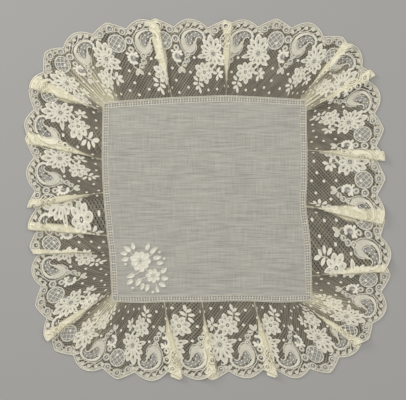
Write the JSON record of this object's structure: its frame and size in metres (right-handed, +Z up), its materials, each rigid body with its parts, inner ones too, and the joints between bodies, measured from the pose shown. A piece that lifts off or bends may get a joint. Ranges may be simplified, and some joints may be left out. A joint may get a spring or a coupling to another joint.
{
  "type": "lace handkerchief",
  "caption": "Square batiste handkerchief with a ladder insertion and a gathered, scalloped lace edging, laid flat.",
  "frame": {"origin": "middle of the underside, where the laid handkerchief touches the surface", "axes": "+Z up from the surface through the thickness; +Y towards the edge that is uppermost in the picture, and +X towards its right-hand edge"},
  "size_m": [0.3798, 0.3752, 0.004],
  "materials": {
    "batiste": "matte",
    "insertion": "matte",
    "lace": "matte"
  },
  "bodies": {
    "root": {"centre_cloth": "batiste", "insertion_top": "insertion", "insertion_right": "insertion", "insertion_bottom": "insertion", "insertion_left": "insertion", "lace_edging": "lace"}
  },
  "joints": []
}
